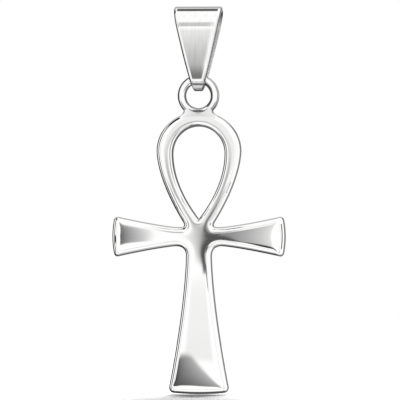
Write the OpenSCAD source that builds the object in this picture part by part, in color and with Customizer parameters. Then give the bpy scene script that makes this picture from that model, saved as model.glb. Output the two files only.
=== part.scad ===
// Ankh pendant on a tapered strip bail, in millimetres.
// X runs to the right, Z up, and the front faces -Y. The origin is the inside of the
// bail's top, where the chain bears. The hinge is the middle of the eye wire's top.

/* [Bail] */
// Height from the chain's seat down to the middle of the eye wire
bail_drop = 6.77; // [5:0.01:12]
// Width of the bail across its top
bail_top_w = 5.04; // [4:0.02:8]
// Width of the bail at its lowest point
bail_end_w = 0.92; // [0.6:0.02:1.3]
// Depth of the bail from front to back at its round top
bail_depth = 4.4; // [3.6:0.1:6]
// Thickness of the bail's strip
bail_t = 0.5; // [0.4:0.02:0.8]
// How far the front leaf's rim stands in front of the lower bend
rim_lap = 0.28; // [0.1:0.02:0.5]
// Radius of the front leaf's rounded rim
rim_r = 0.24; // [0.15:0.01:0.3]
// How straight the bail's sides taper, where 1 is straight
bail_bow = 0.84; // [0.7:0.01:1.2]

/* [Eye] */
// Diameter of the hole in the eye ring
eye_hole_d = 2.46; // [2.3:0.02:4]
// Diameter of the eye ring's wire
eye_wire_d = 0.86; // [0.7:0.02:1.2]
// How deep the eye ring sinks into the loop's crown
eye_sink = 0.55; // [0.3:0.05:0.8]
// Clearance between the eye ring and the bail's bend
eye_play = 0.05; // [0.03:0.01:0.2]

/* [Loop] */
// Outer width of the loop
loop_w = 8.54; // [7:0.02:12]
// Height of the loop's crown above the middle of the arms
loop_h = 12.54; // [10:0.02:18]
// Height of the crown above the loop's widest point
crown_h = 3.99; // [3:0.01:5]
// Width of the loop where it meets the arms
loop_root_w = 2.6; // [2:0.1:3.2]
// Width of the loop's band at its sides
side_band = 1.71; // [1.3:0.01:2.2]
// Width of the loop's band at its crown
crown_band = 1.54; // [1.2:0.02:2]
// Height of the hole's crown above the hole's widest point
hole_crown_h = 2.7; // [2:0.1:3.4]
// Height of the hole's lower point above the middle of the arms
hole_point = 1.8; // [1.4:0.1:2.4]

/* [Arms] */
// Width of the ankh across its arms
arm_span = 17.44; // [14:0.02:24]
// Height of an arm at its waist
arm_waist = 1.94; // [1.5:0.02:2.6]
// Height of an arm at its tip
arm_tip = 4.24; // [3:0.02:6]
// Radius of the arm's slightly round end
arm_end_r = 9; // [6:0.5:20]

/* [Stem] */
// Length of the stem below the middle of the arms
stem_l = 15.78; // [12:0.02:22]
// Width of the stem at its waist
stem_waist = 2.62; // [2:0.02:3.2]
// Width of the stem at its foot
stem_foot = 6.3; // [4:0.05:8]
// Radius of the stem's slightly round foot
stem_end_r = 28; // [15:1:60]

/* [Section] */
// Thickness of the ankh at its edges
edge_t = 1.1; // [0.95:0.05:1.6]
// Height of the straight part of the edge above the back
edge_wall = 0.55; // [0.3:0.05:0.7]
// How far the bevel leans in between the straight edge and the face
bevel_in = 0.28; // [0.15:0.01:0.4]
// Height of the dome over the bevel where the face is wide
dome_h = 0.42; // [0.2:0.02:0.6]
// Half width of face over which the dome gains its height
dome_reach = 0.52; // [0.3:0.02:1]

/* [Corners] */
// Length of the fillet above each arm
upper_fillet = 0.5; // [0.3:0.05:0.8]
// Length of the fillet below each arm
lower_fillet = 1.0; // [0.5:0.05:1.4]
// Length of the rounding at each tip's corners
tip_round = 0.5; // [0.3:0.05:0.8]

/* [Hidden] */
$fn = 96;
round_steps = 10;
side_steps = 10;
dome_steps = 4;
corner_steps = 3;
fillet_steps = 5;
// Exponents of the curved sides: 1 is straight, 2 is a parabola
loop_bow = 1.65;
hole_bow = 1.95;
arm_bow = 1.25;
stem_bow = 1.5;

eye_r = (eye_hole_d + eye_wire_d) / 2;
hinge_z = -bail_drop;
eye_z = hinge_z - eye_r;
loop_top_z = eye_z - eye_r - eye_wire_d / 2 + eye_sink;
arm_z = loop_top_z - loop_h;
front_y = -eye_wire_d / 2;
back_y = front_y + edge_t;
wall_y = back_y - edge_wall;

hole_w = loop_w - 2 * side_band;

function mix(a, b, t) = a + (b - a) * t;
function flare(a, b, t, bow) = a + (b - a) * pow(t, bow);
function bend(a, corner, b, t) = mix(mix(a, corner, t), mix(corner, b, t), t);
function steps(n) = [for (i = [0 : n]) i / n];

// How far from the hinge the eye's hole begins beside a strip of a given half width
function eye_reach(half_w) = eye_r - sqrt(pow(eye_hole_d / 2, 2) - pow(half_w, 2)) + eye_play;
bail_low_z = hinge_z - eye_reach(bail_end_w / 2) - bail_t;
function bail_half(z) = flare(bail_end_w / 2, bail_top_w / 2,
    max(0, z - bail_low_z) / (bail_t - bail_low_z), bail_bow);

// The bail's side view: a round top and a round bend joined by straight leaves. The bend is
// just wide and low enough for the eye to turn on it.
bend_side = eye_reach(bail_half(hinge_z));
bend_below = eye_reach(bail_half(hinge_z - eye_wire_d / 2));
bend_up = (pow(bend_side, 2) - pow(bend_below, 2)) / (2 * bend_below);
bend_r = bend_up + bend_below;
bend_z = hinge_z + bend_up;
top_r = bail_depth / 2 - bail_t;
top_z = -top_r;
lean = asin((top_r - bend_r) / (top_z - bend_z));
rim_z = hinge_z - eye_wire_d / 2;

module leaves_side(grow) {
    top = top_r + grow;
    low = bend_r + grow;
    translate([0, top_z]) circle(r = top);
    translate([0, bend_z]) circle(r = low);
    polygon([
        [-top * cos(lean), top_z - top * sin(lean)],
        [-low * cos(lean), bend_z - low * sin(lean)],
        [low * cos(lean), bend_z - low * sin(lean)],
        [top * cos(lean), top_z - top * sin(lean)]
    ]);
}

module rim_side() {
    rim_y = bend_r + bail_t + rim_lap;
    outer = top_r + bail_t;
    middle = top_r + bail_t / 2;
    translate([-(rim_y - rim_r), rim_z + rim_r]) circle(r = rim_r);
    polygon([
        [-outer * cos(lean), top_z - outer * sin(lean)],
        [-rim_y, rim_z + rim_r],
        [-(rim_y - 2 * rim_r), rim_z + rim_r],
        [-middle * cos(lean), top_z - middle * sin(lean)]
    ]);
}

module bail_front() {
    low = bend_z - bend_r - bail_t;
    levels = [for (t = steps(side_steps)) mix(low, bail_t, t)];
    right = [for (z = levels) [bail_half(z), z]];
    left = [for (i = [side_steps : -1 : 0]) [-right[i][0], right[i][1]]];
    polygon(concat(right, left));
}

module bail() {
    color("silver")
    intersection() {
        rotate([90, 0, 90])
        linear_extrude(height = bail_top_w + 2, center = true)
        difference() {
            union() {
                leaves_side(bail_t);
                rim_side();
            }
            leaves_side(0);
        }
        rotate([90, 0, 0])
        linear_extrude(height = bail_depth + 2, center = true)
        bail_front();
    }
}

// The ankh's outline, above and beside the middle of its arms. Each ray runs from a point of
// the outline to the spine: [outline x, z, spine x, z, half width of the limb there].
hub = [0, 0];
hub_half = norm([stem_waist, arm_waist]) / 2;
arm_half = arm_waist / 2;
tip_x = arm_span / 2;
tip_half = arm_tip / 2;
arm_foot = max((loop_root_w / 2 + upper_fillet), (stem_waist / 2 + lower_fillet));
arm_end = tip_x - end_sag(tip_half, arm_end_r) - tip_round;
arm_spine_end = tip_x - tip_half;
stem_half = stem_waist / 2;
foot_half = stem_foot / 2;
stem_top = arm_half + lower_fillet;
stem_end = stem_l - end_sag(foot_half, stem_end_r) - tip_round;
stem_spine_end = stem_l - foot_half;

function end_sag(offset, r) = r - sqrt(r * r - offset * offset);
function arm_edge(x) = flare(arm_half, tip_half, (x - arm_foot) / (tip_x - arm_foot), arm_bow);
function stem_edge(z) = flare(stem_half, foot_half, (z - stem_top) / (stem_l - stem_top), stem_bow);
function loop_outer(t) = [
    flare(loop_w / 2, loop_root_w / 2, t, loop_bow),
    mix(loop_h - crown_h, arm_half, t)
];
function loop_inner(t) = [
    flare(hole_w / 2, 0, t, hole_bow),
    mix(loop_h - crown_band - hole_crown_h, hole_point, t)
];
function crown_outer(a) = [loop_w / 2 * sin(a), loop_h - crown_h * (1 - cos(a))];
function crown_inner(a) = [
    hole_w / 2 * sin(a),
    loop_h - crown_band - hole_crown_h * (1 - cos(a))
];
function ray(p, q, half) = [p[0], p[1], q[0], q[1], half];
// Both edges of the loop share the line midway between them
function limb_rays(outer, inner, side) = [
    for (i = [0 : len(outer) - 1])
        ray(side * outer[i] + (1 - side) * inner[i], (outer[i] + inner[i]) / 2,
            norm(outer[i] - inner[i]) / 2)
];

fillet_start = 1 - upper_fillet / (loop_h - crown_h - arm_half);
loop_outer_edge = concat(
    [for (t = steps(round_steps)) crown_outer(90 * t)],
    [for (i = [1 : side_steps]) loop_outer(fillet_start * i / side_steps)]
);
loop_inner_edge = concat(
    [for (t = steps(round_steps)) crown_inner(90 * t)],
    [for (i = [1 : side_steps]) loop_inner(i / side_steps)]
);
limb_end = (loop_outer(fillet_start) + loop_inner(1)) / 2;
limb_half = norm(loop_outer(fillet_start) - loop_inner(1)) / 2;

// The spine from a limb's end to the hub and on to the next limb's foot
function spine_turn(a, a_half, b, b_half) = concat(
    [for (t = steps(fillet_steps)) concat(mix(a, hub, t), mix(a_half, hub_half, t))],
    [for (i = [1 : fillet_steps])
        concat(mix(hub, b, i / fillet_steps), mix(hub_half, b_half, i / fillet_steps))]
);
function fillet_points(a, corner, b, last) = concat(
    [for (i = [0 : 2 * fillet_steps - 1]) bend(a, corner, b, i / (2 * fillet_steps - 1))],
    [last]
);
function fan(points, spine) = [
    for (i = [0 : len(points) - 1]) concat(points[i], spine[i])
];
function reversed(list) = [for (i = [len(list) - 1 : -1 : 0]) list[i]];

upper_rays = fan(
    fillet_points(loop_outer(fillet_start), [loop_root_w / 2, arm_half],
        [loop_root_w / 2 + upper_fillet, arm_half], [arm_foot, arm_half]),
    spine_turn(limb_end, limb_half, [arm_foot, 0], arm_half)
);
point_rays = [
    for (t = steps(fillet_steps))
        ray(loop_inner(1), mix(limb_end, hub, t), mix(limb_half, hub_half, t))
];
arm_stations = [for (t = steps(side_steps)) mix(arm_foot, arm_end, t)];
arm_rays = [
    for (x = arm_stations)
        ray([x, arm_edge(x)], [min(x, arm_spine_end), 0], arm_edge(min(x, arm_spine_end)))
];
// A rounded corner and half of the slightly round end, for the arms and for the foot
function end_points(side, length, half, r) = let (flat = half - tip_round) concat(
    [for (t = steps(corner_steps))
        bend(side, [length - end_sag(half, r), half], [length - end_sag(flat, r), flat], t)],
    [for (i = [corner_steps - 1 : -1 : 0])
        let (offset = flat * i / corner_steps) [length - end_sag(offset, r), offset]]
);
arm_end_rays = [
    for (p = end_points([arm_end, arm_edge(arm_end)], tip_x, tip_half, arm_end_r))
        ray(p, [arm_spine_end, 0], arm_edge(arm_spine_end))
];
function below(rays) = [for (r = reversed(rays)) [r[0], -r[1], r[2], -r[3], r[4]]];
lower_rays = fan(
    reversed(fillet_points([stem_half, -stem_top], [stem_half, -arm_half],
        [stem_half + lower_fillet, -arm_half], [arm_foot, -arm_half])),
    spine_turn([arm_foot, 0], arm_half, [0, -stem_top], stem_half)
);
stem_stations = [for (t = steps(side_steps)) mix(stem_top, stem_end, t)];
stem_rays = [
    for (z = stem_stations)
        ray([stem_edge(z), -z], [0, -min(z, stem_spine_end)], stem_edge(min(z, stem_spine_end)))
];
foot_rays = [
    for (p = end_points([stem_end, stem_edge(stem_end)], stem_l, foot_half, stem_end_r))
        ray([p[1], -p[0]], [0, -stem_spine_end], stem_edge(stem_spine_end))
];

outer_rays = concat(
    limb_rays(loop_outer_edge, loop_inner_edge, 1),
    upper_rays,
    arm_rays,
    arm_end_rays,
    below(arm_end_rays),
    below(arm_rays),
    lower_rays,
    stem_rays,
    foot_rays
);
inner_rays = concat(limb_rays(loop_outer_edge, loop_inner_edge, 0), point_rays);

// The points over one ray: the back's spine, the edge, the bevel and the dome up to the spine
function dome(half) = dome_h * (1 - exp(-(half - bevel_in) / dome_reach));
function over_ray(r) = let (
    p = [r[0], r[1]],
    q = [r[2], r[3]],
    inset = mix(p, q, bevel_in / norm(q - p))
) concat(
    [[q[0], back_y, q[1]], [p[0], back_y, p[1]], [p[0], wall_y, p[1]]],
    [for (s = steps(dome_steps)) let (c = mix(inset, q, s))
        [c[0], front_y - dome(r[4]) * (1 - pow(1 - s, 2)), c[1]]]
);
function mirrored(points) = [for (p = points) [p[0] == 0 ? 0 : -p[0], p[1], p[2]]];
function differ(a, b, c) = a != b && b != c && a != c;
function triangle(points, a, b, c) = differ(points[a], points[b], points[c]) ? [[a, b, c]] : [];
// The triangles between neighbouring rays, turned so that they face out
function strip(points, first, count, turned) = [
    for (i = [0 : count - 2], k = [0 : levels - 2])
        let (
            a = first + i * levels + k,
            b = a + levels,
            from = turned ? a : b,
            to = turned ? b : a
        )
        each concat(
            triangle(points, from, to, to + 1),
            triangle(points, from, to + 1, from + 1)
        )
];

levels = dome_steps + 4;
outer_points = [for (r = outer_rays) each over_ray(r)];
inner_points = [for (r = inner_rays) each over_ray(r)];
ankh_points = concat(outer_points, inner_points, mirrored(outer_points), mirrored(inner_points));
half_count = len(outer_rays) + len(inner_rays);
ankh_faces = concat(
    strip(ankh_points, 0, len(outer_rays), true),
    strip(ankh_points, len(outer_rays) * levels, len(inner_rays), false),
    strip(ankh_points, half_count * levels, len(outer_rays), false),
    strip(ankh_points, (half_count + len(outer_rays)) * levels, len(inner_rays), true)
);

module eye() {
    translate([0, 0, eye_z])
    rotate([90, 0, 0])
    rotate_extrude()
    translate([eye_r, 0]) circle(d = eye_wire_d);
}

module ankh() {
    color("lightgray")
    union() {
        translate([0, 0, arm_z]) polyhedron(points = ankh_points, faces = ankh_faces);
        eye();
    }
}

bail();
ankh();
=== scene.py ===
"""Ankh pendant on a tapered bail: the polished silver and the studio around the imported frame."""
import math
from functools import partial

import bpy
import numpy as np
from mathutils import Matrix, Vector


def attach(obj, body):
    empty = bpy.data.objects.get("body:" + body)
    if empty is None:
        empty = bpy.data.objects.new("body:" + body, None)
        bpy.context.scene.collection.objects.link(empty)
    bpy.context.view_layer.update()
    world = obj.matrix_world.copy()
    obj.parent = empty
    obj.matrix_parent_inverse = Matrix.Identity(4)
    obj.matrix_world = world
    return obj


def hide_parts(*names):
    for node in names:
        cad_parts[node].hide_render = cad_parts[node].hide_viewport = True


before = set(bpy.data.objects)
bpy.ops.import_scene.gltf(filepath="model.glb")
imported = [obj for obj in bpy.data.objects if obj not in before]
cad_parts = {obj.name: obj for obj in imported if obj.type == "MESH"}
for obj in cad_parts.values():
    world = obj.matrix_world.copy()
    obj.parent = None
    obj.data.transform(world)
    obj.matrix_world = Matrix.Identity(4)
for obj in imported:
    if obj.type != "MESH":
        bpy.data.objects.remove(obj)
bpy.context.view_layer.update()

# Sizes are in millimetres, in the frame's axes: X right, Z up, the front faces -Y
MM = 0.001

# Bail
BAIL_DROP = 6.77
BAIL_TOP_W = 5.04
BAIL_END_W = 0.92
BAIL_DEPTH = 4.4
BAIL_T = 0.5
RIM_LAP = 0.28
RIM_R = 0.24
BAIL_BOW = 0.84

# Eye ring
EYE_HOLE_D = 2.46
EYE_WIRE_D = 0.86
EYE_SINK = 0.55
EYE_PLAY = 0.05

# Loop
LOOP_W = 8.54
LOOP_H = 12.54
CROWN_H = 3.99
LOOP_ROOT_W = 2.6
SIDE_BAND = 1.71
CROWN_BAND = 1.54
HOLE_CROWN_H = 2.7
HOLE_POINT = 1.8
LOOP_BOW = 1.65
HOLE_BOW = 1.95

# Arms and stem
ARM_SPAN = 17.44
ARM_WAIST = 1.94
ARM_TIP = 4.24
ARM_END_R = 9.0
ARM_BOW = 1.25
STEM_L = 15.78
STEM_WAIST = 2.62
STEM_FOOT = 6.3
STEM_END_R = 28.0
STEM_BOW = 1.5
UPPER_FILLET = 0.5
LOWER_FILLET = 1.0
TIP_ROUND = 0.5
FOOT_ROUND = 0.75

# Section of the ankh. A tilt is the angle between the surface and the flat front, in degrees
EDGE_T = 1.1
BACK_ROUND = 0.06
WALL_R = 1.45
WALL_Y = 0.58
WALL_TILT = 62
FLANK_TILT = 58
FLANK_IN = 0.08
LEDGE_TILT = 49
LEDGE_IN = 0.09
BEVEL_TILT = 33
BEVEL_IN = 0.12
FACE_TILT = 10
FACE_ROUND = 0.08
DOME_RISE = 0.05
DOME_LIP = 0.012
DOME_LIP_IN = 0.1
BACK_RISE = 0.04
# The share of a straight step's width over which the surface turns into it
STEP_TURN = 0.1
# How satin the back is, from 0, polished, to 1
BACK_SATIN = 0.6

# How finely the meshes are made
RAYS = 24
FILLET_RAYS = RAYS // 3
BACK_ROUND_STEPS = 3
WALL_STEPS = 5
FACE_ROUND_STEPS = 3
BACK_LEVELS = 10
FACE_LEVELS = 12
LEVEL_CROWDING = 1.6
EYE_AROUND = 160
EYE_ACROSS = 48
NECK_STEPS = 8
NECK_SIDE_STEPS = 10
OVER_STEPS = 48
LEAF_STEPS = 30
BACK_LEAF_STEPS = 24
LIP_STEPS = 12
UNDER_STEPS = 24

# A short way along a surface for its slope, how many points are measured at a time, the decimals of a
# millimetre that tell two points apart, and what counts as nothing
SLOPE_GAP = 1e-3
AT_A_TIME = 4000
JOIN_DECIMALS = 5
SMALL = 1e-6
TINY = 1e-9

eye_r = (EYE_HOLE_D + EYE_WIRE_D) / 2
hinge_z = -BAIL_DROP
eye_z = hinge_z - eye_r
loop_top_z = eye_z - eye_r - EYE_WIRE_D / 2 + EYE_SINK
arm_z = loop_top_z - LOOP_H
back_y = EDGE_T - EYE_WIRE_D / 2
hole_w = LOOP_W - 2 * SIDE_BAND
arm_half = ARM_WAIST / 2
tip_half = ARM_TIP / 2
tip_x = ARM_SPAN / 2
stem_half = STEM_WAIST / 2
foot_half = STEM_FOOT / 2
stem_top = arm_half + LOWER_FILLET
arm_foot = max(LOOP_ROOT_W / 2 + UPPER_FILLET, stem_half + LOWER_FILLET)


def mix(a, b, t):
    return a + (b - a) * t


def flare(a, b, t, bow):
    return a + (b - a) * t**bow


def steps(count):
    return np.linspace(0, 1, count + 1)


def bend(a, corner, b, count):
    """Points of the round corner from a to b."""
    t = steps(count)[:, None]
    a, corner, b = np.array(a), np.array(corner), np.array(b)
    return mix(mix(a, corner, t), mix(corner, b, t), t)


def end_sag(offset, radius):
    return radius - math.sqrt(radius**2 - offset**2)


def column(x, z):
    return np.stack(np.broadcast_arrays(x, z), -1).astype(float)


# Outlines of the ankh, above and beside the middle of its arms


def crown(half_w, top, drop, angle):
    return column(half_w * np.sin(angle), top - drop * (1 - np.cos(angle)))


def loop_outer(t):
    return column(flare(LOOP_W / 2, LOOP_ROOT_W / 2, t, LOOP_BOW), mix(LOOP_H - CROWN_H, arm_half, t))


def loop_inner(t):
    hole_side = LOOP_H - CROWN_BAND - HOLE_CROWN_H
    return column(flare(hole_w / 2, 0, t, HOLE_BOW), mix(hole_side, HOLE_POINT, t))


def arm_edge(x):
    return flare(arm_half, tip_half, (x - arm_foot) / (tip_x - arm_foot), ARM_BOW)


def stem_edge(z):
    return flare(stem_half, foot_half, (z - stem_top) / (STEM_L - stem_top), STEM_BOW)


def limb(edge, foot, length, half, end_r, corner_round, count):
    """One side of an arm or of the stem, from its foot to the middle of its end."""
    flat = half - corner_round
    tip = length - end_sag(half, end_r)
    along = mix(foot, tip - corner_round, steps(2 * count))
    side = column(along, edge(along))
    corner = bend(side[-1], [tip, half], [length - end_sag(flat, end_r), flat], count // 2)
    end = [[length - end_sag(offset, end_r), offset] for offset in flat * (1 - steps(count)[1:])]
    outline = np.concatenate([side, corner[1:], end])
    reach = length - half
    spine = column(np.minimum(outline[:, 0], reach), 0)
    return outline, spine


def turn(a, b, count):
    """Spine points from a to the hub and on to b."""
    t = steps(count)[:, None]
    return np.concatenate([a * (1 - t), b * t[1:]])


def half_rays():
    """The right half of the outside and of the hole: outline points, and the spine points that their rays
    lead to. Leans marks the rays of the outside that lean towards the spine, on the arm and the stem."""
    round_t = steps(RAYS) * math.pi / 2
    fillet_start = 1 - UPPER_FILLET / (LOOP_H - CROWN_H - arm_half)
    outer = np.concatenate(
        [crown(LOOP_W / 2, LOOP_H, CROWN_H, round_t), loop_outer(fillet_start * steps(RAYS)[1:])]
    )
    inner = np.concatenate(
        [crown(hole_w / 2, LOOP_H - CROWN_BAND, HOLE_CROWN_H, round_t), loop_inner(steps(RAYS)[1:])]
    )
    limb_spine = (outer + inner) / 2

    upper_corner = [LOOP_ROOT_W / 2, arm_half]
    upper_end = [LOOP_ROOT_W / 2 + UPPER_FILLET, arm_half]
    upper = bend(outer[-1], upper_corner, upper_end, 2 * FILLET_RAYS - 1)
    upper = np.concatenate([upper, [[arm_foot, arm_half]]])
    upper_spine = turn(limb_spine[-1], np.array([arm_foot, 0.0]), FILLET_RAYS)

    arm, arm_spine = limb(arm_edge, arm_foot, tip_x, tip_half, ARM_END_R, TIP_ROUND, RAYS // 2)
    lower_arm, lower_arm_spine = arm[::-1] * [1, -1], arm_spine[::-1]

    lower_start = [stem_half + LOWER_FILLET, -arm_half]
    lower = bend(lower_start, [stem_half, -arm_half], [stem_half, -stem_top], 2 * FILLET_RAYS)
    lower_spine = turn(np.array([arm_foot, 0.0]), np.array([0.0, -stem_top]), FILLET_RAYS)

    stem, stem_spine = limb(stem_edge, stem_top, STEM_L, foot_half, STEM_END_R, FOOT_ROUND, RAYS // 2)
    turned = np.array([[0, -1], [1, 0]])
    stem, stem_spine = stem @ turned, stem_spine @ turned

    outline = np.concatenate([outer, upper[1:], arm[1:], lower_arm[1:], lower[1:], stem[1:]])
    spine = np.concatenate(
        [limb_spine, upper_spine[1:], arm_spine[1:], lower_arm_spine[1:], lower_spine[1:], stem_spine[1:]]
    )
    counts = [len(outer) + len(upper) - 1, 2 * len(arm) - 2, len(lower) - 1, len(stem) - 1]
    leans = np.repeat([0, 1, 0, 1], counts)
    point = np.repeat(inner[-1:], FILLET_RAYS, 0)
    point_spine = mix(limb_spine[-1], 0, steps(FILLET_RAYS)[1:, None])
    hole, hole_spine = np.concatenate([inner, point]), np.concatenate([limb_spine, point_spine])
    return (outline, spine, leans), (hole, hole_spine)


def both_halves(points):
    return np.concatenate([points, (points * [-1, 1])[-2:0:-1]])


def ways_in(outline, spine, normals, leans):
    """Where each ray goes for every millimetre inside the edge: square to it, or towards the spine."""
    along = spine - outline
    depth = np.maximum(-(along * normals).sum(1, keepdims=True), SMALL)
    return np.where(leans[:, None] > 0, along / depth, -normals)


def outward_normals(outline, spine):
    """Normals of a closed outline in its plane, pointing away from the metal."""
    ahead = np.roll(outline, -1, 0) - outline
    length = np.linalg.norm(ahead, axis=1)
    bare = length < TINY
    ahead[~bare] /= length[~bare, None]
    normals = np.zeros_like(outline)
    count = len(outline)
    for i in range(count):
        following = next(ahead[(i + k) % count] for k in range(count) if not bare[(i + k) % count])
        before = next(ahead[(i - 1 - k) % count] for k in range(count) if not bare[(i - 1 - k) % count])
        along = following + before
        normals[i] = [-along[1], along[0]]
    normals /= np.linalg.norm(normals, axis=1, keepdims=True)
    away = ((outline - spine) * normals).sum(1)
    return normals * np.sign(np.median(away))


def fan_out(normals, outline, first, last):
    """Turn the normals smoothly where many rays leave one sharp point."""
    start, end = (math.atan2(normals[i][1], normals[i][0]) for i in (first, last))
    sweep = (end - start + math.pi) % (2 * math.pi) - math.pi
    for i in range(first, last + 1):
        angle = start + sweep * (i - first) / (last - first)
        normals[i] = [math.cos(angle), math.sin(angle)]


def smooth_distance(at, loops):
    """Distance to the edge that has no creases: half the true one in the middle of a strip."""
    seen = np.zeros(len(at))
    for loop in loops:
        a, b = loop, np.roll(loop, -1, 0)
        length = np.linalg.norm(b - a, axis=1)
        a, b, length = a[length > TINY], b[length > TINY], length[length > TINY]
        way = (b - a) / length[:, None]
        for first in range(0, len(at), AT_A_TIME):
            point = at[first : first + AT_A_TIME, None, :]
            to_a, to_b = a - point, b - point
            off = to_a[..., 1] * way[:, 0] - to_a[..., 0] * way[:, 1]
            sine_a = (to_a * way).sum(-1) / np.linalg.norm(to_a, axis=-1)
            sine_b = (to_b * way).sum(-1) / np.linalg.norm(to_b, axis=-1)
            clear = np.abs(off) > SMALL
            share = np.where(clear, (sine_b - sine_a) / np.where(clear, off, 1), 0)
            seen[first : first + AT_A_TIME] += share.sum(1)
    return 2 / np.maximum(np.abs(seen), TINY)


def section():
    """Points over the edge from the back to the face: how far in, how far back, and the tilt."""
    points = []
    back_tilt = 180 - math.degrees(BACK_RISE)
    for t in steps(BACK_ROUND_STEPS):
        tilt = math.radians(90 * t)
        into = BACK_ROUND * (1 - math.sin(tilt))
        points.append((into, back_y - BACK_ROUND * (1 - math.cos(tilt)), mix(back_tilt, 90, t)))
    for tilt in np.linspace(90, WALL_TILT, WALL_STEPS + 1):
        angle = math.radians(tilt)
        points.append((WALL_R * (1 - math.sin(angle)), WALL_Y - WALL_R * math.cos(angle), tilt))

    def straight(tilt, width):
        into, y, _ = points[-1]
        soft = STEP_TURN * width
        points.append((into + soft, y - soft * math.tan(math.radians(tilt)), tilt))
        points.append((into + width, y - width * math.tan(math.radians(tilt)), tilt))

    straight(FLANK_TILT, FLANK_IN)
    straight(LEDGE_TILT, LEDGE_IN)
    straight(BEVEL_TILT, BEVEL_IN)
    into, y, _ = points[-1]
    top = math.radians(BEVEL_TILT)
    for tilt in np.linspace(BEVEL_TILT, FACE_TILT, FACE_ROUND_STEPS + 1)[1:]:
        angle = math.radians(tilt)
        further = FACE_ROUND * (math.sin(top) - math.sin(angle))
        points.append((into + further, y - FACE_ROUND * (math.cos(angle) - math.cos(top)), tilt))
    return np.array(points)


def dome(at, loops):
    """The face rises a little from its edge."""
    edge = smooth_distance(at, loops)
    return DOME_RISE * edge + DOME_LIP * (1 - np.exp(-edge / DOME_LIP_IN))


def crowned_back(at, loops):
    """The polished back rises hardly visibly towards its middle."""
    return BACK_RISE * np.maximum(smooth_distance(at, loops) - BACK_ROUND, 0)


def height_normals(height, at, loops, way):
    """Directions of a surface that rises by a height. Way is 1 on the back and -1 on the front."""
    slope_x = (height(at + [SLOPE_GAP, 0], loops) - height(at - [SLOPE_GAP, 0], loops)) / (2 * SLOPE_GAP)
    slope_z = (height(at + [0, SLOPE_GAP], loops) - height(at - [0, SLOPE_GAP], loops)) / (2 * SLOPE_GAP)
    turned = np.stack([-slope_x, np.full(len(at), way), -slope_z], -1)
    return turned / np.linalg.norm(turned, axis=1, keepdims=True)


def tilted(normals, tilt):
    """Directions of a surface that leans by a tilt towards normals in the plane of the outline."""
    angle = math.radians(tilt)
    front = np.full(len(normals), -math.cos(angle))
    return np.stack([normals[:, 0] * math.sin(angle), front, normals[:, 1] * math.sin(angle)], -1)


def band(outline, spine, normals, ways, profile, loops, back_loops):
    """Points and normals over every ray of one closed outline, as rays by levels."""
    shell = []
    turns = []

    def rise(edge, t, y, height, height_loops, way):
        at = mix(edge, spine, t)
        shell.append(np.stack([at[:, 0], y + way * height(at, height_loops), at[:, 1]], -1))
        turns.append(height_normals(height, at, height_loops, way))

    edge = outline + ways * profile[0][0]
    for t in steps(BACK_LEVELS)[:0:-1] ** LEVEL_CROWDING:
        rise(edge, t, back_y, crowned_back, back_loops, 1.0)
    for into, y, tilt in profile:
        at = outline + ways * into
        shell.append(np.stack([at[:, 0], np.full(len(at), y), at[:, 1]], -1))
        turns.append(tilted(normals, tilt))
    edge = outline + ways * profile[-1][0]
    for t in steps(FACE_LEVELS)[1:] ** LEVEL_CROWDING:
        rise(edge, t, profile[-1][1], dome, loops, -1.0)
    return np.stack(shell, 1), np.stack(turns, 1)


def quads(rows, columns, first, flip):
    """Faces of a closed band of rows by columns of points."""
    faces = []
    for i in range(rows):
        for k in range(columns - 1):
            a = first + i * columns + k
            b = first + (i + 1) % rows * columns + k
            faces.append((a, a + 1, b + 1, b) if flip else (a, b, b + 1, a + 1))
    return faces


def tube(rows, columns, flip):
    """Faces of a band of rows by columns of points that is closed both ways."""
    faces = []
    for i in range(rows):
        for k in range(columns):
            a, b = i * columns + k, (i + 1) % rows * columns + k
            c, d = (i + 1) % rows * columns + (k + 1) % columns, i * columns + (k + 1) % columns
            faces.append((a, d, c, b) if flip else (a, b, c, d))
    return faces


def make_mesh(name, points, normals, faces, **marks):
    """A mesh object from points in millimetres, with equal points joined and smooth normals. The marks
    are values at the points that the material reads."""
    keys, first, join = np.unique(
        np.round(points, JOIN_DECIMALS), axis=0, return_index=True, return_inverse=True
    )
    join = join.ravel()
    total = np.zeros((len(keys), 3))
    np.add.at(total, join, normals)
    length = np.linalg.norm(total, axis=1, keepdims=True)
    normals = np.where(length > SMALL, total / np.maximum(length, SMALL), normals[first])
    kept = []
    for face in faces:
        corners = []
        for corner in (int(join[c]) for c in face):
            if corner not in corners:
                corners.append(corner)
        if len(corners) > 2:
            kept.append(corners)
    mesh = bpy.data.meshes.new(name)
    mesh.from_pydata((points[first] * MM).tolist(), [], kept)
    mesh.update()
    mesh.polygons.foreach_set("use_smooth", [True] * len(mesh.polygons))
    mesh.normals_split_custom_set_from_vertices(normals.tolist())
    for mark, values in marks.items():
        attribute = mesh.attributes.new(mark, "FLOAT", "POINT")
        attribute.data.foreach_set("value", np.asarray(values, float)[first])
    piece = bpy.data.objects.new(name, mesh)
    bpy.context.scene.collection.objects.link(piece)
    return piece


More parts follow.
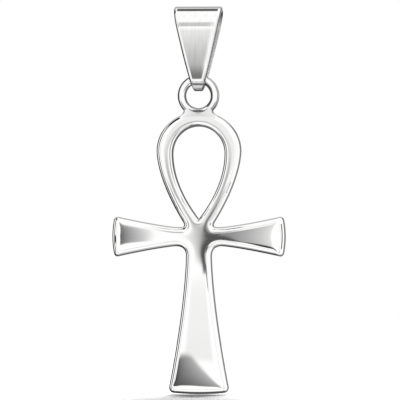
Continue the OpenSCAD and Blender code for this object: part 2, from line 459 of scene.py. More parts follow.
def make_ankh_body():
    """Loop, arms and stem: rays from the edge to the spine, with the section along each."""
    (outer, outer_spine, leans), (inner, inner_spine) = half_rays()
    fan = len(inner) - 1
    outer, outer_spine = both_halves(outer), both_halves(outer_spine)
    hole_point_first = fan - FILLET_RAYS
    hole, hole_spine = both_halves(inner), both_halves(inner_spine)
    outer_normals = outward_normals(outer, outer_spine)
    hole_normals = outward_normals(hole, hole_spine)
    tangent = inner[hole_point_first] - inner[hole_point_first - 1]
    side_normal = np.array([tangent[1], -tangent[0]]) / np.linalg.norm(tangent)
    side_normal *= np.sign(((inner[hole_point_first] - inner_spine[hole_point_first]) * side_normal).sum())
    hole_normals[hole_point_first] = side_normal
    hole_normals[fan] = [0, 1]
    fan_out(hole_normals, hole, hole_point_first, fan)
    for i in range(hole_point_first, fan):
        hole_normals[2 * fan - i] = hole_normals[i] * [-1, 1]

    profile = section()
    reach = profile[-1][0]
    leans = np.concatenate([leans, leans[-2:0:-1]])
    outer_ways = ways_in(outer, outer_spine, outer_normals, leans)
    loops = [outer + outer_ways * reach, (hole - hole_normals * reach)[::-1]]
    back_loops = [outer, hole[::-1]]
    points_out, turns_out = band(outer, outer_spine, outer_normals, outer_ways, profile, loops, back_loops)
    points_in, turns_in = band(hole, hole_spine, hole_normals, -hole_normals, profile, loops, back_loops)
    columns = points_out.shape[1]
    faces = quads(len(outer), columns, 0, True) + quads(len(hole), columns, len(outer) * columns, False)
    points = np.concatenate([points_out.reshape(-1, 3), points_in.reshape(-1, 3)]) + [0, 0, arm_z]
    turns = np.concatenate([turns_out.reshape(-1, 3), turns_in.reshape(-1, 3)])
    satin = np.tile(np.where(np.arange(columns) <= BACK_LEVELS, BACK_SATIN, 0), len(outer) + len(hole))
    return make_mesh("ankh_body", points, turns, faces, satin=satin)


# Painted shade on the eye ring, from 0, bright, to 1, dark. The painted shade of the crease lies just above
# the neck
CREASE_UP = 0.13
CREASE_W = 0.09
CREASE_HALF = 0.58
CREASE_DARK = 1.6

# Painted shade darkens the wire's outside where its surface faces that far outwards, sooner on the left. It
# is darkest at that many degrees from the right, over the top
EYE_OUTSIDE = 0.53
EYE_OUTSIDE_LEFT = 0.06
EYE_OUTSIDE_DARK = 0.7
EYE_OUTSIDE_CHANGE = 0.2
EYE_DARKEST = 200

# Painted shade darkens its inside where it faces that far inwards, sooner on the right and later below
EYE_INSIDE = 0.68
EYE_INSIDE_RIGHT = 0.12
EYE_INSIDE_LOW = 0.14
EYE_INSIDE_DARK = 0.88
EYE_SOFT = 0.2

# Painted shade in the notches between eye and neck: how far it reaches, and where the wire faces that far
# outwards
NOTCH_REACH = 0.9
NOTCH_OUTSIDE = 0.5
NOTCH_SOFT = 0.3

# Neck
NECK_ANGLE = 46
NECK_SINK = 0.03
NECK_FOOT = 1.95
NECK_NOTCH = 1.4
NECK_LOW = 0.95
NECK_MIDDLE = 0.3
NECK_SLOPE = 0.04
NECK_SIDE_SINK = 0.35
NECK_FLAT = 0.85
NECK_BACK = 0.35
NECK_RIM_DARK = 0.95
# Over the neck's edge to its front: the share of the way out from its middle, how far behind the wire's
# front, the tilt, and how dark the painted shade along the edge is there
NECK_FRONT = (
    (1, 0.12, 90, NECK_RIM_DARK),
    (0.985, 0.03, 60, NECK_RIM_DARK),
    (0.95, -0.003, 15, 0.65),
    (0.85, -0.012, 3, 0),
    (0, -0.015, 0, 0),
)

# Painted shade on the neck: along its edge, and under the eye
NECK_DARK_W = 0.3
NECK_EDGE_DARK = 0.55
NECK_SHADE = 0.65
NECK_SHADE_MIDDLE = 0.22


def make_eye():
    """The eye ring's round wire."""
    angle = np.arange(EYE_AROUND)[:, None] * 2 * math.pi / EYE_AROUND
    wire = np.arange(EYE_ACROSS)[None, :] * 2 * math.pi / EYE_ACROSS
    out = np.stack([np.cos(wire) * np.cos(angle), np.sin(wire) + 0 * angle, np.cos(wire) * np.sin(angle)], -1)
    ring = np.stack([np.cos(angle), 0 * angle, np.sin(angle)], -1)
    points = (ring * eye_r + out * EYE_WIRE_D / 2 + [0, 0, eye_z]).reshape(-1, 3)
    height = points[:, 2] - (eye_z - eye_r)
    # Painted shade: in the crease above the neck, on the wire's inside, in the notches and on its outside
    crease = np.exp(-(((height - CREASE_UP) / CREASE_W) ** 2)) * np.exp(-((points[:, 0] / CREASE_HALF) ** 4))
    crease = np.clip(CREASE_DARK * crease, 0, 1) * (points[:, 1] < 0)
    inward = -(out * ring).sum(-1).ravel()
    round_eye = np.repeat(angle.ravel(), EYE_ACROSS)
    to_right, down = np.cos(round_eye), -np.sin(round_eye)
    dark_from = EYE_INSIDE - EYE_INSIDE_RIGHT * np.clip(to_right, 0, 1)
    dark_from += EYE_INSIDE_LOW * np.clip(down, 0, 1) ** 2
    inside = EYE_INSIDE_DARK * np.clip((inward - dark_from) / EYE_SOFT, 0, 1)
    notch = column(NECK_NOTCH * np.sign(points[:, 0]), eye_z - eye_r + 0 * points[:, 0])
    beside = np.exp(-((np.linalg.norm(points[:, [0, 2]] - notch, axis=1) / NOTCH_REACH) ** 2))
    beside *= np.clip((-inward - NOTCH_OUTSIDE) / NOTCH_SOFT, 0, 1)
    outside = EYE_OUTSIDE_DARK + EYE_OUTSIDE_CHANGE * np.cos(round_eye - math.radians(EYE_DARKEST))
    dark_from = EYE_OUTSIDE - EYE_OUTSIDE_LEFT * np.clip(-to_right, 0, 1)
    outside *= np.clip((-inward - dark_from) / EYE_SOFT, 0, 1)
    tarnish = 1 - (1 - crease) * (1 - inside) * (1 - beside) * (1 - outside)
    faces = tube(EYE_AROUND, EYE_ACROSS, True)
    return make_mesh("eye_ring", points, out.reshape(-1, 3), faces, tarnish=tarnish)


def make_neck():
    """The cast fillet that carries the ankh's face up to the middle of the eye's wire."""
    wire_r = EYE_WIRE_D / 2
    inner_angle = np.radians(np.linspace(0, NECK_ANGLE, NECK_STEPS + 1))
    top = column(eye_r * np.sin(inner_angle), eye_z - eye_r * np.cos(inner_angle))
    outer_r = eye_r + wire_r - NECK_SINK
    out_angle = math.radians(NECK_ANGLE)
    shoulder = [outer_r * math.sin(out_angle), eye_z - outer_r * math.cos(out_angle)]

    def crown_z(x, sink):
        return loop_top_z - CROWN_H * (1 - math.sqrt(1 - (x / (LOOP_W / 2)) ** 2)) - sink

    foot = [NECK_FOOT, crown_z(NECK_FOOT, NECK_SINK)]
    notch = [NECK_NOTCH, crown_z(NECK_NOTCH, 0)]
    side = bend(shoulder, notch, foot, NECK_SIDE_STEPS)
    low_x = NECK_FOOT * (1 - steps(NECK_STEPS))
    low = column(low_x, [crown_z(x, NECK_LOW) for x in low_x])
    shape = both_halves(np.concatenate([top, side, low]))
    beside_middle = np.abs(shape[:, 0])
    middle = np.array([0, loop_top_z - NECK_MIDDLE])
    away = shape - middle
    away /= np.linalg.norm(away, axis=1, keepdims=True)

    points, turns = [], []
    back = NECK_SLOPE * np.maximum(0, eye_z - eye_r - shape[:, 1])
    middle_back = NECK_SLOPE * max(0, eye_z - eye_r - middle[1])
    corner_sink = NECK_SIDE_SINK * np.clip((beside_middle - NECK_NOTCH) / (NECK_FOOT - NECK_NOTCH), 0, 1) ** 2
    rim = [(0, NECK_BACK, 180, 0), (1, NECK_BACK, 180, NECK_RIM_DARK)]
    rim += [(share, behind - wire_r, tilt, dark) for share, behind, tilt, dark in NECK_FRONT]
    for share, y, tilt, _ in rim:
        at = middle + (shape - middle) * share
        sink = 0 * back
        if y < 0:
            sink = mix(middle_back, back, share) + corner_sink * max(0, share - NECK_FLAT) / (1 - NECK_FLAT)
        points.append(np.stack([at[:, 0], y + sink, at[:, 1]], -1))
        turns.append(tilted(away, tilt))
    points, turns = np.stack(points, 1), np.stack(turns, 1)
    faces = quads(len(shape), points.shape[1], 0, True)

    # Painted shade beside the eye, along the neck's shoulders and under the eye
    beside_eye = np.exp(-(((beside_middle - NECK_NOTCH) / NECK_DARK_W) ** 2))
    beside_eye *= shape[:, 1] > notch[1] - NECK_DARK_W
    shoulder_line = np.clip((NECK_FOOT - beside_middle) / NECK_DARK_W, 0, NECK_EDGE_DARK)
    shoulder_line *= (beside_middle > NECK_NOTCH) & (shape[:, 1] > foot[1] - NECK_DARK_W)
    under_eye = NECK_SHADE * np.exp(-((shape[:, 0] / CREASE_HALF) ** 4)) * (shape[:, 1] > middle[1])
    tarnish = np.outer(np.maximum(beside_eye, shoulder_line), [dark for *_, dark in rim])
    tarnish = np.maximum(tarnish, np.outer(under_eye, [y < 0 for _, y, *_ in rim]))
    tarnish[:, -1] = NECK_SHADE_MIDDLE
    return make_mesh("neck", points.reshape(-1, 3), turns.reshape(-1, 3), faces, tarnish=tarnish.ravel())


# The bail's side view, as y and z


def eye_reach(half_w):
    """How far from the hinge the eye's hole begins beside a strip of that half width."""
    return eye_r - math.sqrt((EYE_HOLE_D / 2) ** 2 - half_w**2) + EYE_PLAY


bail_low_z = hinge_z - eye_reach(BAIL_END_W / 2) - BAIL_T


def bail_half(z):
    rise = np.maximum(0, z - bail_low_z) / (BAIL_T - bail_low_z)
    return flare(BAIL_END_W / 2, BAIL_TOP_W / 2, rise, BAIL_BOW)


bend_side = eye_reach(bail_half(hinge_z))
bend_below = eye_reach(bail_half(hinge_z - EYE_WIRE_D / 2))
bend_up = (bend_side**2 - bend_below**2) / (2 * bend_below)
bend_r = bend_up + bend_below
bend_z = hinge_z + bend_up
top_r = BAIL_DEPTH / 2 - BAIL_T
top_z = -top_r
leaf_lean = math.asin((top_r - bend_r) / (top_z - bend_z))
rim_z = hinge_z - EYE_WIRE_D / 2


def arc(centre, radius, start, end, count):
    """Points of a circle in the side view, by degrees from straight back over the top."""
    angle = np.radians(np.linspace(start, end, count + 1))
    return np.stack([centre[0] + radius * np.cos(angle), centre[1] + radius * np.sin(angle)], -1)


def line(a, b, count):
    return mix(np.array(a), np.array(b), steps(count)[:, None])


def bail_sides():
    """Outer and inner side view of the bail, point for point."""
    tilt = math.degrees(leaf_lean)
    top, low = (0, top_z), (0, bend_z)
    outer_r = top_r + BAIL_T
    low_r = bend_r + BAIL_T
    rim_y = low_r + RIM_LAP
    rim = (-(rim_y - RIM_R), rim_z + RIM_R)
    gap = math.hypot(rim[0] - low[0], rim[1] - low[1])
    towards = math.degrees(math.atan2(rim[1] - low[1], rim[0] - low[0]))
    at_low = math.degrees(math.acos((low_r**2 + gap**2 - RIM_R**2) / (2 * low_r * gap)))
    at_rim = math.degrees(math.acos((RIM_R**2 + gap**2 - low_r**2) / (2 * RIM_R * gap)))
    notch_rim = (towards + 180 - at_rim) % 360
    notch_low = (towards + at_low) % 360
    over = arc(top, outer_r, -tilt, 180 + tilt, OVER_STEPS)
    leaf = line(over[-1], (-rim_y, rim[1]), LEAF_STEPS)
    lip = arc(rim, RIM_R, 180, notch_rim if notch_rim > 180 else notch_rim + 360, LIP_STEPS)
    under = arc(low, low_r, notch_low, 360 - tilt, UNDER_STEPS)
    back = line(under[-1], over[0], BACK_LEAF_STEPS)
    inner_over = arc(top, top_r, -tilt, 180 + tilt, OVER_STEPS)
    inner_under = arc(low, bend_r, 180 + tilt, 360 - tilt, LIP_STEPS + UNDER_STEPS)
    inner_leaf = line(inner_over[-1], inner_under[0], LEAF_STEPS)
    inner_back = line(inner_under[-1], inner_over[0], BACK_LEAF_STEPS)
    outer = np.concatenate([over, leaf[1:], lip[1:], under[1:], back[1:-1]])
    inner = np.concatenate([inner_over, inner_leaf[1:], inner_under[1:], inner_back[1:-1]])
    return outer, inner


# The strip has a sloping border along each long edge
BORDER_W = 0.24
BORDER_DROP = 0.09
BORDER_LEAN = math.degrees(math.atan2(BORDER_DROP, BORDER_W))
# Its section, outside from the middle to the edge and inside back to the middle: how far in from the edge,
# how deep, and the lean of the surface in degrees. None is the middle
BAIL_OUTSIDE = (
    (None, 0, 0),
    (0.384, 0, 0),
    (0.2112, 0.02, BORDER_LEAN),
    (0.1584, 0.08, BORDER_LEAN),
    (0.12, 0.1212, 50),
    (0.06, 0.21, 68),
    (0, 0.426, 90),
)
BAIL_INSIDE = (
    (0, 0.05, 90),
    (0.015, 0.015, 45),
    (0.05, 0, 0),
    (None, 0, 0),
)
# The share of the section's roundings that is left at the lowest point, and the least half width
LOW_EDGE = 0.35
LEAST_HALF = 0.02

# Painted shade under the bail's rim, by how far below it
RIM_SHADE_Z = 0.1
RIM_SHADE_W = 0.11
UNDER_RIM = 0.45
UNDER_RIM_SOFT = 0.05
UNDER_RIM_FADES = 0.2
UNDER_RIM_FADE = 0.4
UNDER_RIM_LEAST = 0.2

# How dark the painted shade along the left and the right edge is, by the lean of the surface in radians,
# within so many millimetres of the edge. The shares of it that are left at the lowest point and at the top
EDGE_DARK = ((0.3, 0.6, 0.0), (0.8, 1.35, 0.25), (1.1, 1.35, 0.65), (1.5, 1.2, 0.75))
EDGE_DARK_WITHIN = 0.168
EDGE_DARK_LOW = 0.98
EDGE_DARK_HIGH = 0.5

# Painted shade on the strip's inside, between the heights where it is gone and where it is full
INSIDE_DARK = 0.9
INSIDE_DARK_FROM = -1.6
INSIDE_DARK_TO = -0.3


def side_normals(path):
    along = np.roll(path, -1, 0) - np.roll(path, 1, 0)
    along /= np.linalg.norm(along, axis=1, keepdims=True)
    return np.stack([along[:, 1], -along[:, 0]], -1)


def make_bail():
    """The folded strip: its section swept along the side view."""
    outer, inner = bail_sides()
    count = len(outer)
    paths = {"outer": (outer, side_normals(outer)), "inner": (inner, -side_normals(inner))}
    across = [("outer", *row) for row in BAIL_OUTSIDE] + [("inner", *row) for row in BAIL_INSIDE]
    right = []
    for side, x_in, depth, lean in across:
        path, normal = paths[side]
        angle = math.radians(lean)
        slim = np.clip((path[:, 1] - bail_low_z) / (rim_z - bail_low_z), LOW_EDGE, 1)
        at = path - normal * depth * slim[:, None]
        half = bail_half(at[:, 1])
        x = np.zeros(count) if x_in is None else np.maximum(half - x_in * slim, LEAST_HALF)
        place = np.stack([x, at[:, 0], at[:, 1]], -1)
        out = np.full(count, math.sin(angle))
        turned = np.stack([out, normal[:, 0] * math.cos(angle), normal[:, 1] * math.cos(angle)], -1)
        right.append((place, turned))
    ring = right + [(place * [-1, 1, 1], turned * [-1, 1, 1]) for place, turned in right[-2:0:-1]]
    points = np.stack([place for place, _ in ring], 1).reshape(-1, 3)
    turns = np.stack([turned for _, turned in ring], 1).reshape(-1, 3)

    ring_rows = across + across[-2:0:-1]
    satin = np.tile([1.0 if side == "inner" else 0.0 for side, *_ in ring_rows], count)
    # Painted shade under the rim, along the strip's edges and inside the fold
    below = rim_z - points[:, 2]
    fade = np.clip(1 - (below - UNDER_RIM_FADES) / UNDER_RIM_FADE, UNDER_RIM_LEAST, 1)
    under = UNDER_RIM * np.clip(below / UNDER_RIM_SOFT + 1, 0, 1) * fade
    tarnish = np.maximum(under, np.exp(-(((below - RIM_SHADE_Z) / RIM_SHADE_W) ** 2)))
    tarnish *= points[:, 1] < 0
    edge = []
    for place, (side, x_in, _, lean) in enumerate(ring_rows):
        dark = [(at, on_right if place < len(across) else on_left) for at, on_left, on_right in EDGE_DARK]
        marked = side == "outer" and x_in is not None and x_in <= EDGE_DARK_WITHIN
        edge.append(np.interp(math.radians(lean), *zip(*dark)) if marked else 0.0)
    height = np.clip(points[:, 2] / bail_low_z, 0, 1)
    edges = np.minimum(np.tile(edge, count) * mix(EDGE_DARK_HIGH, EDGE_DARK_LOW, height), 1)
    tarnish = np.maximum(tarnish, edges)
    upper = np.clip((points[:, 2] - INSIDE_DARK_FROM) / (INSIDE_DARK_TO - INSIDE_DARK_FROM), 0, 1)
    tarnish = np.maximum(tarnish, satin * INSIDE_DARK * upper)
    return make_mesh("bail_strip", points, turns, tube(count, len(ring), False), satin=satin, tarnish=tarnish)


def math_node(tree, operation, *values):
    """The result of a Math node, from numbers and other nodes' results."""
    node = tree.nodes.new("ShaderNodeMath")
    node.operation = operation
    for socket, value in zip(node.inputs, values):
        if isinstance(value, (int, float)):
            socket.default_value = value
        else:
            tree.links.new(value, socket)
    return node.outputs[0]


def range_node(tree, value, low, high, to_low=0.0, to_high=1.0, smooth=False):
    """A value mapped from low to high onto another range, and held at its ends."""
    node = tree.nodes.new("ShaderNodeMapRange")
    node.interpolation_type = "SMOOTHSTEP" if smooth else "LINEAR"
    numbers = {"From Min": low, "From Max": high, "To Min": to_low, "To Max": to_high}
    for socket, number in numbers.items():
        node.inputs[socket].default_value = number
    tree.links.new(value, node.inputs["Value"])
    return node.outputs["Result"]


SILVER = (0.93, 0.93, 0.925, 1)
# The dark colour mixed in for painted shade, and for the darker polishing streaks
SHADE_AND_STREAK_DARK = (0.03, 0.03, 0.03, 1)

# How rough the polished and the cast metal are, the satin, and the polishing grain in all of them
POLISHED = 0.05
CAST = 0.12
SATIN_ROUGHNESS = 0.5
GRAIN_SCALE = 400
GRAIN_DETAIL = 3
GRAIN_CHANGE = 0.3

# Fine lines left by the polishing, up and down the piece: how close across and along, per metre
STREAK_SCALE = (3600, 3600, 130)
STREAK_DETAIL = 2
STREAK_SATIN = 0.35
STREAK_DARK = 0.1
STREAK_FROM = 0.4
STREAK_TO = 0.7


def silver(name, roughness, tarnished=False, satined=False, streak_dark=0.0):
    """Polished silver with a faint polishing grain, and painted shade or satin where the mesh is marked so.
    """
    material = bpy.data.materials.new(name)
    material.use_nodes = True
    tree = material.node_tree
    nodes, links = tree.nodes, tree.links
    shader = nodes["Principled BSDF"]
    shader.inputs["Metallic"].default_value = 1
    shader.inputs["Base Color"].default_value = SILVER
    place = nodes.new("ShaderNodeTexCoord").outputs["Object"]

    def noise(vector, scale, detail):
        texture = nodes.new("ShaderNodeTexNoise")
        texture.inputs["Scale"].default_value = scale
        texture.inputs["Detail"].default_value = detail
        links.new(vector, texture.inputs["Vector"])
        return texture.outputs["Fac"]

    def mark(mark_name):
        attribute = nodes.new("ShaderNodeAttribute")
        attribute.attribute_name = mark_name
        return attribute.outputs["Fac"]

    grain = noise(place, GRAIN_SCALE, GRAIN_DETAIL)
    least, most = roughness * (1 - GRAIN_CHANGE), roughness * (1 + GRAIN_CHANGE)
    rough = range_node(tree, grain, 0, 1, least, most)
    if satined or streak_dark:
        stretch = nodes.new("ShaderNodeMapping")
        stretch.inputs["Scale"].default_value = STREAK_SCALE
        links.new(place, stretch.inputs["Vector"])
        lines = noise(stretch.outputs["Vector"], 1, STREAK_DETAIL)
    if satined:
        rougher = range_node(tree, mark("satin"), 0, 1, 0, SATIN_ROUGHNESS)
        lined = range_node(tree, lines, 0, 1, 1 - STREAK_SATIN, 1 + STREAK_SATIN)
        rough = math_node(tree, "MULTIPLY_ADD", rougher, lined, rough)
    links.new(rough, shader.inputs["Roughness"])
    # The mesh's mark paints shade into the colour, and the darker polishing streaks are added to it
    if tarnished:
        dark = mark("tarnish")
        if streak_dark:
            darker = range_node(tree, lines, STREAK_FROM, STREAK_TO, 0, streak_dark)
            dark = math_node(tree, "ADD", dark, darker)
            dark.node.use_clamp = True
        tint = nodes.new("ShaderNodeMix")
        tint.data_type = "RGBA"
        tint.inputs["A"].default_value = SILVER
        tint.inputs["B"].default_value = SHADE_AND_STREAK_DARK
        links.new(dark, tint.inputs["Factor"])
        links.new(tint.outputs["Result"], shader.inputs["Base Color"])
    return material


body = make_ankh_body()
eye = make_eye()
neck = make_neck()
bail = make_bail()
ankh_silver = silver("ankh_silver", POLISHED, satined=True)
eye_silver = silver("eye_silver", CAST, tarnished=True)
bail_silver = silver("bail_silver", POLISHED, tarnished=True, satined=True, streak_dark=STREAK_DARK)
for piece, metal in ((body, ankh_silver), (eye, eye_silver), (neck, eye_silver)):
    piece.data.materials.append(metal)
    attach(piece, "ankh")
    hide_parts("ankh")
bail.data.materials.append(bail_silver)
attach(bail, "bail")
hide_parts("bail")

# The camera stands a little to the right, at the photograph's scale of 0.1 mm to a pixel
VIEW_ANGLE = 5.5
VIEW_DISTANCE = 600
VIEW_CENTRE = (0.15, 0, -18.85)
VIEW_WIDTH = 40
SENSOR_WIDTH = 36
NEAREST = 10

camera_data = bpy.data.cameras.new("camera")
camera_data.sensor_width = SENSOR_WIDTH
camera_data.lens = SENSOR_WIDTH * VIEW_DISTANCE / VIEW_WIDTH
camera_data.clip_start = NEAREST * MM
camera = bpy.data.objects.new("camera", camera_data)
bpy.context.scene.collection.objects.link(camera)
angle = math.radians(VIEW_ANGLE)
target = Vector(VIEW_CENTRE) * MM
camera.location = target + Vector((math.sin(angle), -math.cos(angle), 0)) * VIEW_DISTANCE * MM
camera.rotation_euler = (math.radians(90), 0, angle)
bpy.context.scene.camera = camera

# The studio's white, the share of it that lights the floor, and the share of it that silver mirrors
WHITE = 1.1
FLOOR_FILL = 0.12
SILVER_SHINE = 0.93

# The picture's own curve from tone to light
TONE_START = 0.04045
TONE_SLOPE = 12.92
TONE_OFFSET = 0.055
TONE_POWER = 2.4


def light_of(tone):
    """The light that a polished surface has to mirror to look this bright in the picture."""
    if tone >= 1:
        return WHITE
    if tone < TONE_START:
        return tone / TONE_SLOPE / SILVER_SHINE
    return ((tone + TONE_OFFSET) / (1 + TONE_OFFSET)) ** TONE_POWER / SILVER_SHINE


# Far grey panels of the white studio, seen only in reflections. Around is the side they are on, from
# straight up over the left, with half their spread and its soft edge. Away is how far they are from
# the front, from and to, with its soft edge. All in degrees, then their tone in the finished picture
PANELS = (
    ((98, 44, 10), (131, 168, 4), 0.05),
    ((-90, 50, 15), (128, 168, 6), 0.5),
    ((180, 45, 20), (130, 168, 6), 0.4),
    ((0, 52, 10), (130, 168, 8), 0.7),
    ((0, 200, 5), (168, 200, 8), 0.85),
    ((85, 40, 12), (97, 110, 3), 0.3),
    ((38, 14, 7), (96, 127, 4), 0.04),
    ((135, 30, 15), (118, 200, 10), 0.2),
    ((180, 40, 15), (106, 140, 8), 0.75),
    ((90, 45, 20), (27, 60, 7), 0.62),
    ((-90, 45, 20), (27, 53, 5), 0.62),
    ((180, 60, 20), (30, 62, 5), 0.66),
    ((-90, 45, 20), (68, 87, 3), 0.5),
    ((90, 45, 20), (79, 95, 3), 0.5),
)


def make_world():
    """A white studio with grey panels for the reflections. The camera and the floor see plain white."""
    world = bpy.data.worlds.new("studio")
    world.use_nodes = True
    tree = world.node_tree
    background = tree.nodes["Background"]
    calc = partial(math_node, tree)

    def rise(value, low, high):
        return range_node(tree, value, math.radians(low), math.radians(high), smooth=True)

    split = tree.nodes.new("ShaderNodeSeparateXYZ")
    tree.links.new(tree.nodes.new("ShaderNodeTexCoord").outputs["Generated"], split.inputs[0])
    x, y, z = split.outputs
    away = calc("ARCCOSINE", calc("MULTIPLY", y, -1))
    around = calc("ARCTAN2", calc("MULTIPLY", x, -1), z)
    studio = WHITE
    for (centre, half, soft_side), (low, high, soft), tone in PANELS:
        offset = calc("WRAP", calc("SUBTRACT", around, math.radians(centre)), math.pi, -math.pi)
        beside = rise(calc("ABSOLUTE", offset), half - soft_side, half + soft_side)
        inside = calc("SUBTRACT", rise(away, low - soft, low + soft), rise(away, high - soft, high + soft))
        cover = calc("MULTIPLY", inside, calc("SUBTRACT", 1, beside))
        darker = calc("SUBTRACT", 1, calc("MULTIPLY", cover, 1 - light_of(tone) / WHITE))
        studio = calc("MULTIPLY", darker, studio)
    path = tree.nodes.new("ShaderNodeLightPath")
    mirrored = path.outputs["Is Glossy Ray"]
    seen = calc("MULTIPLY", path.outputs["Is Camera Ray"], 1 - FLOOR_FILL)
    plain = calc("MULTIPLY", calc("SUBTRACT", 1, mirrored), calc("ADD", seen, FLOOR_FILL))
    strength = calc("ADD", calc("MULTIPLY", mirrored, studio), plain)
    tree.links.new(strength, background.inputs["Strength"])
    background.inputs["Color"].default_value = (1, 1, 1, 1)
    bpy.context.scene.world = world


# The least width in millimetres over which a card fades out
FLAG_SHARP = 0.05


def block(left, low, right, high):
    """The corners of an upright card, from its lower left round over its lower right."""
    return (left, low), (right, low), (right, high), (left, high)


def flag(name, corners, soft, tones, at, face="XZ"):
    """A flat grey card that only the reflections see. The corners go round a convex outline, in
    millimetres of the card's own two axes. Soft gives how far in from each side, starting with the one
    from the first corner to the second, the card fades out. The tones are those at the first three
    corners. One number stands for all sides or corners."""
    first, second = ("XYZ".index(letter) for letter in face)
    across = 3 - first - second
    places = []
    for corner in corners:
        place = [0, 0, 0]
        place[first], place[second], place[across] = corner[0] * MM, corner[1] * MM, at * MM
        places.append(place)
    mesh = bpy.data.meshes.new(name)
    mesh.from_pydata(places, [], [list(range(len(places)))])
    material = bpy.data.materials.new(name)
    material.use_nodes = True
    tree = material.node_tree
    nodes, links = tree.nodes, tree.links
    nodes.clear()
    place = nodes.new("ShaderNodeTexCoord").outputs["Object"]
    calc = partial(math_node, tree)

    def plane(along, start):
        """A value that changes evenly over the card, per millimetre along its two axes."""
        dot = nodes.new("ShaderNodeVectorMath")
        dot.operation = "DOT_PRODUCT"
        links.new(place, dot.inputs[0])
        slope = [0, 0, 0]
        slope[first], slope[second] = along[0] / MM, along[1] / MM
        dot.inputs[1].default_value = slope
        return calc("ADD", dot.outputs["Value"], float(start))

    corners = np.array(corners, float)
    middle = corners.mean(0)
    cover = 1.0
    for i, width in enumerate(np.full(len(corners), soft, float)):
        a, b = corners[i], corners[(i + 1) % len(corners)]
        along = (b - a) / np.linalg.norm(b - a)
        inward = np.array([-along[1], along[0]])
        inward *= np.sign(inward @ (middle - a))
        fade = range_node(tree, plane(inward, -(inward @ a)), 0, max(width, FLAG_SHARP), smooth=True)
        cover = calc("MULTIPLY", fade, cover)
    tones = np.full(3, tones, float)
    slope = np.linalg.solve(corners[1:3] - corners[0], tones[1:] - tones[0])
    tone = plane(slope, tones[0] - slope @ corners[0])
    tone = calc("MINIMUM", calc("MAXIMUM", tone, 0), 1)
    light = calc("POWER", calc("DIVIDE", calc("ADD", tone, TONE_OFFSET), 1 + TONE_OFFSET), TONE_POWER)
    glow = nodes.new("ShaderNodeEmission")
    links.new(calc("DIVIDE", light, SILVER_SHINE), glow.inputs["Strength"])
    clear = nodes.new("ShaderNodeBsdfTransparent")
    blend = nodes.new("ShaderNodeMixShader")
    result = nodes.new("ShaderNodeOutputMaterial")
    links.new(cover, blend.inputs[0])
    links.new(clear.outputs[0], blend.inputs[1])
    links.new(glow.outputs[0], blend.inputs[2])
    links.new(blend.outputs[0], result.inputs["Surface"])
    mesh.materials.append(material)
    card = bpy.data.objects.new(name, mesh)
    bpy.context.scene.collection.objects.link(card)
    card.visible_camera = False
    card.visible_diffuse = False
    card.visible_shadow = False


make_world()

# Cards in front of the ankh's face, one a little before the other
flag(
    "flag_left_arm",
    ((-11.7, -24.1), (-6, -25), (-5, -16), (-10.1, -17), (-10.9, -19.5), (-11.9, -22.5)),
    (0.4, 2, 3.5, 0.1, 0.1, 0.1),
    (0.36, 1.0, 1.15),
    -24,
)
flag(
    "flag_centre",
    ((-4.9, -25.5), (0.6, -26.5), (0.6, -17), (-4.9, -17)),
    (1.6, 1.5, 3, 1),
    (1, 0.5, 0.5),
    -24.1,
)
flag(
    "flag_dark",
    ((-2.2, -25), (0.2, -26.6), (2.4, -26), (0.5, -20.5), (-2.2, -20.5)),
    (1.4, 0.5, 1.1, 2.5, 2),
    0.32,
    -23.9,
)
flag(
    "flag_right_root",
    ((-1.9, -22.6), (0.2, -23.6), (0.3, -19), (-1.2, -18.8)),
    (0.6, 0.35, 1.5, 1.6),
    0.32,
    -23.95,
)
flag(
    "flag_right_arm",
    ((-1, -18.5), (-1, -26.6), (4.9, -26.5), (5.75, -24), (5.8, -21), (4.8, -17.5)),
    (1.5, 0.5, 0.1, 0.1, 0.1, 1.5),
    (0.44, 0.44, 0.84),
    -24,
)
flag(
    "flag_right_low",
    ((3.2, -27.9), (5.3, -28), (5.4, -25.1), (1, -24.9)),
    (0.6, 0.2, 0.6, 1),
    0.2,
    -23.8,
)
flag(
    "flag_loop",
    ((-6.5, -19.5), (2, -19.5), (1.5, -12.3), (-6, -12.3)),
    (1.5, 2, 3.5, 2),
    (0.68, 0.68, 0.75),
    -24.2,
)
flag("flag_crown", block(-7.5, -18, 6, -3), 2, 0.93, -24.3)
flag("flag_stem", block(-6, -36, 1.4, -25.5), (1, 1, 3, 1.5), (0.93, 0.93, 0.96), -24.2)
flag(
    "flag_foot",
    (
        *((-9.5, -33.9), (-9.5, -38), (-4, -39.8), (-1, -40.5)),
        *((2.8, -41.3), (0.15, -37.5), (-3.1, -34.7), (-5, -34.1)),
    ),
    (0.4, 0.15, 0.15, 0.25, 0.8, 0.8, 0.8, 1),
    (0.33, 0.05, 0.33),
    -23.9,
)

# Cards beside the arms' ends, under the foot and behind the loop's hole
flag("flag_right_end", block(-0.7, -24.6, 0.3, -20.4), (0.3, 0.1, 0.3, 0.1), 0.35, 12, "YZ")
flag("flag_left_end", block(-2, -23.7, -0.8, -22.1), (0.5, 0.1, 0.5, 0.1), 0.08, -12, "YZ")
flag("flag_under_foot", block(-3.1, -0.2, 3.1, 0.65), (0.3, 0.2, 0, 0.2), 0.3, -38.6, "XY")
flag("flag_behind_loop", ((-0.4, -20), (0.4, -20), (2, -12), (-2, -12)), 0.3, 0.4, 2.6)

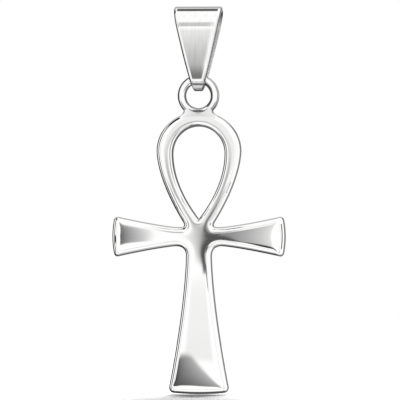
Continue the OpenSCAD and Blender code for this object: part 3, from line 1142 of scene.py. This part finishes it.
# Cards for the bail, with white ones round them that keep its chamfers light
flag(
    "flag_bail",
    ((-1.4, -7.76), (0.2, -7.76), (1.6, -1.6), (-2.75, -1.6)),
    (0.1, 0.45, 0.8, 0.45),
    (0.632, 0.632, 0.99),
    -6,
)
flag("flag_bail_left", block(-11, -10.8, -5, 8), 0.3, 1, -6)
flag("flag_bail_right", block(3.8, -10.8, 10, 8), 0.3, 1, -6)
flag("flag_bail_behind", block(-5.2, -9.3, 4, -1.4), 0.3, 1, -6.1)
flag("flag_bail_low", ((-1.5, -7.76), (0.3, -7.76), (0.7, -6), (-1.9, -6)), (0.1, 0.4, 1.6, 0.4), 0.46, -5.9)
flag("flag_bail_bar", block(-7, 2.9, -0.4, 20), (0.8, 1.5, 8, 1), 0.79, -30)
flag("flag_bail_top", block(-2.4, -0.9, 1.85, 1.2), (0.3, 0.1, 0.5, 0.1), 0.36, 3, "XY")

# Cards for the eye ring. The white back lets only the eye see the dark card beside it
flag("flag_eye_left", block(-0.5, -9.9, 25, -5.4), (0.3, 5, 0.1, 0.15), (0.5, 0.5, 0.55), -2.3, "YZ")
flag("flag_eye_back", block(-0.5, -9.9, 25, -5.4), 0, 1, -2.35, "YZ")
flag("flag_eye_inside", block(-1.3, -9.4, 0, -7.4), (0.3, 0.2, 0.3, 0.6), 0.35, 0.6, "YZ")
flag("flag_behind_eye", block(-1, -9.5, 1, -7.3), 0.2, 0.2, 2.6)

FLOOR_DROP = 0.02
FLOOR_REACH = 200


def make_floor():
    """The plain pale floor, just under the stem's foot."""
    z = (arm_z - STEM_L - FLOOR_DROP) * MM
    reach = FLOOR_REACH * MM
    corners = [(-reach, -reach, z), (reach, -reach, z), (reach, reach, z), (-reach, reach, z)]
    mesh = bpy.data.meshes.new("floor")
    mesh.from_pydata(corners, [], [(0, 1, 2, 3)])
    material = bpy.data.materials.new("floor")
    material.use_nodes = True
    shader = material.node_tree.nodes["Principled BSDF"]
    shader.inputs["Base Color"].default_value = (1, 1, 1, 1)
    shader.inputs["Roughness"].default_value = 1
    shader.inputs["Specular IOR Level"].default_value = 0
    mesh.materials.append(material)
    floor = bpy.data.objects.new("floor", mesh)
    bpy.context.scene.collection.objects.link(floor)
    floor.visible_glossy = False


make_floor()

# A wide soft light from behind draws the foot's shadow on the floor, towards the camera
BACK_LIGHT_HEIGHT = 35
BACK_LIGHT_SPREAD = 35
BACK_LIGHT_POWER = 6
lamp = bpy.data.lights.new("back_light", "SUN")
lamp.energy = BACK_LIGHT_POWER
lamp.angle = math.radians(BACK_LIGHT_SPREAD)
back_light = bpy.data.objects.new("back_light", lamp)
bpy.context.scene.collection.objects.link(back_light)
back_light.rotation_euler = (math.radians(BACK_LIGHT_HEIGHT - 90), 0, 0)
back_light.visible_glossy = False
back_light.visible_camera = False
bpy.context.scene.view_settings.view_transform = "Standard"
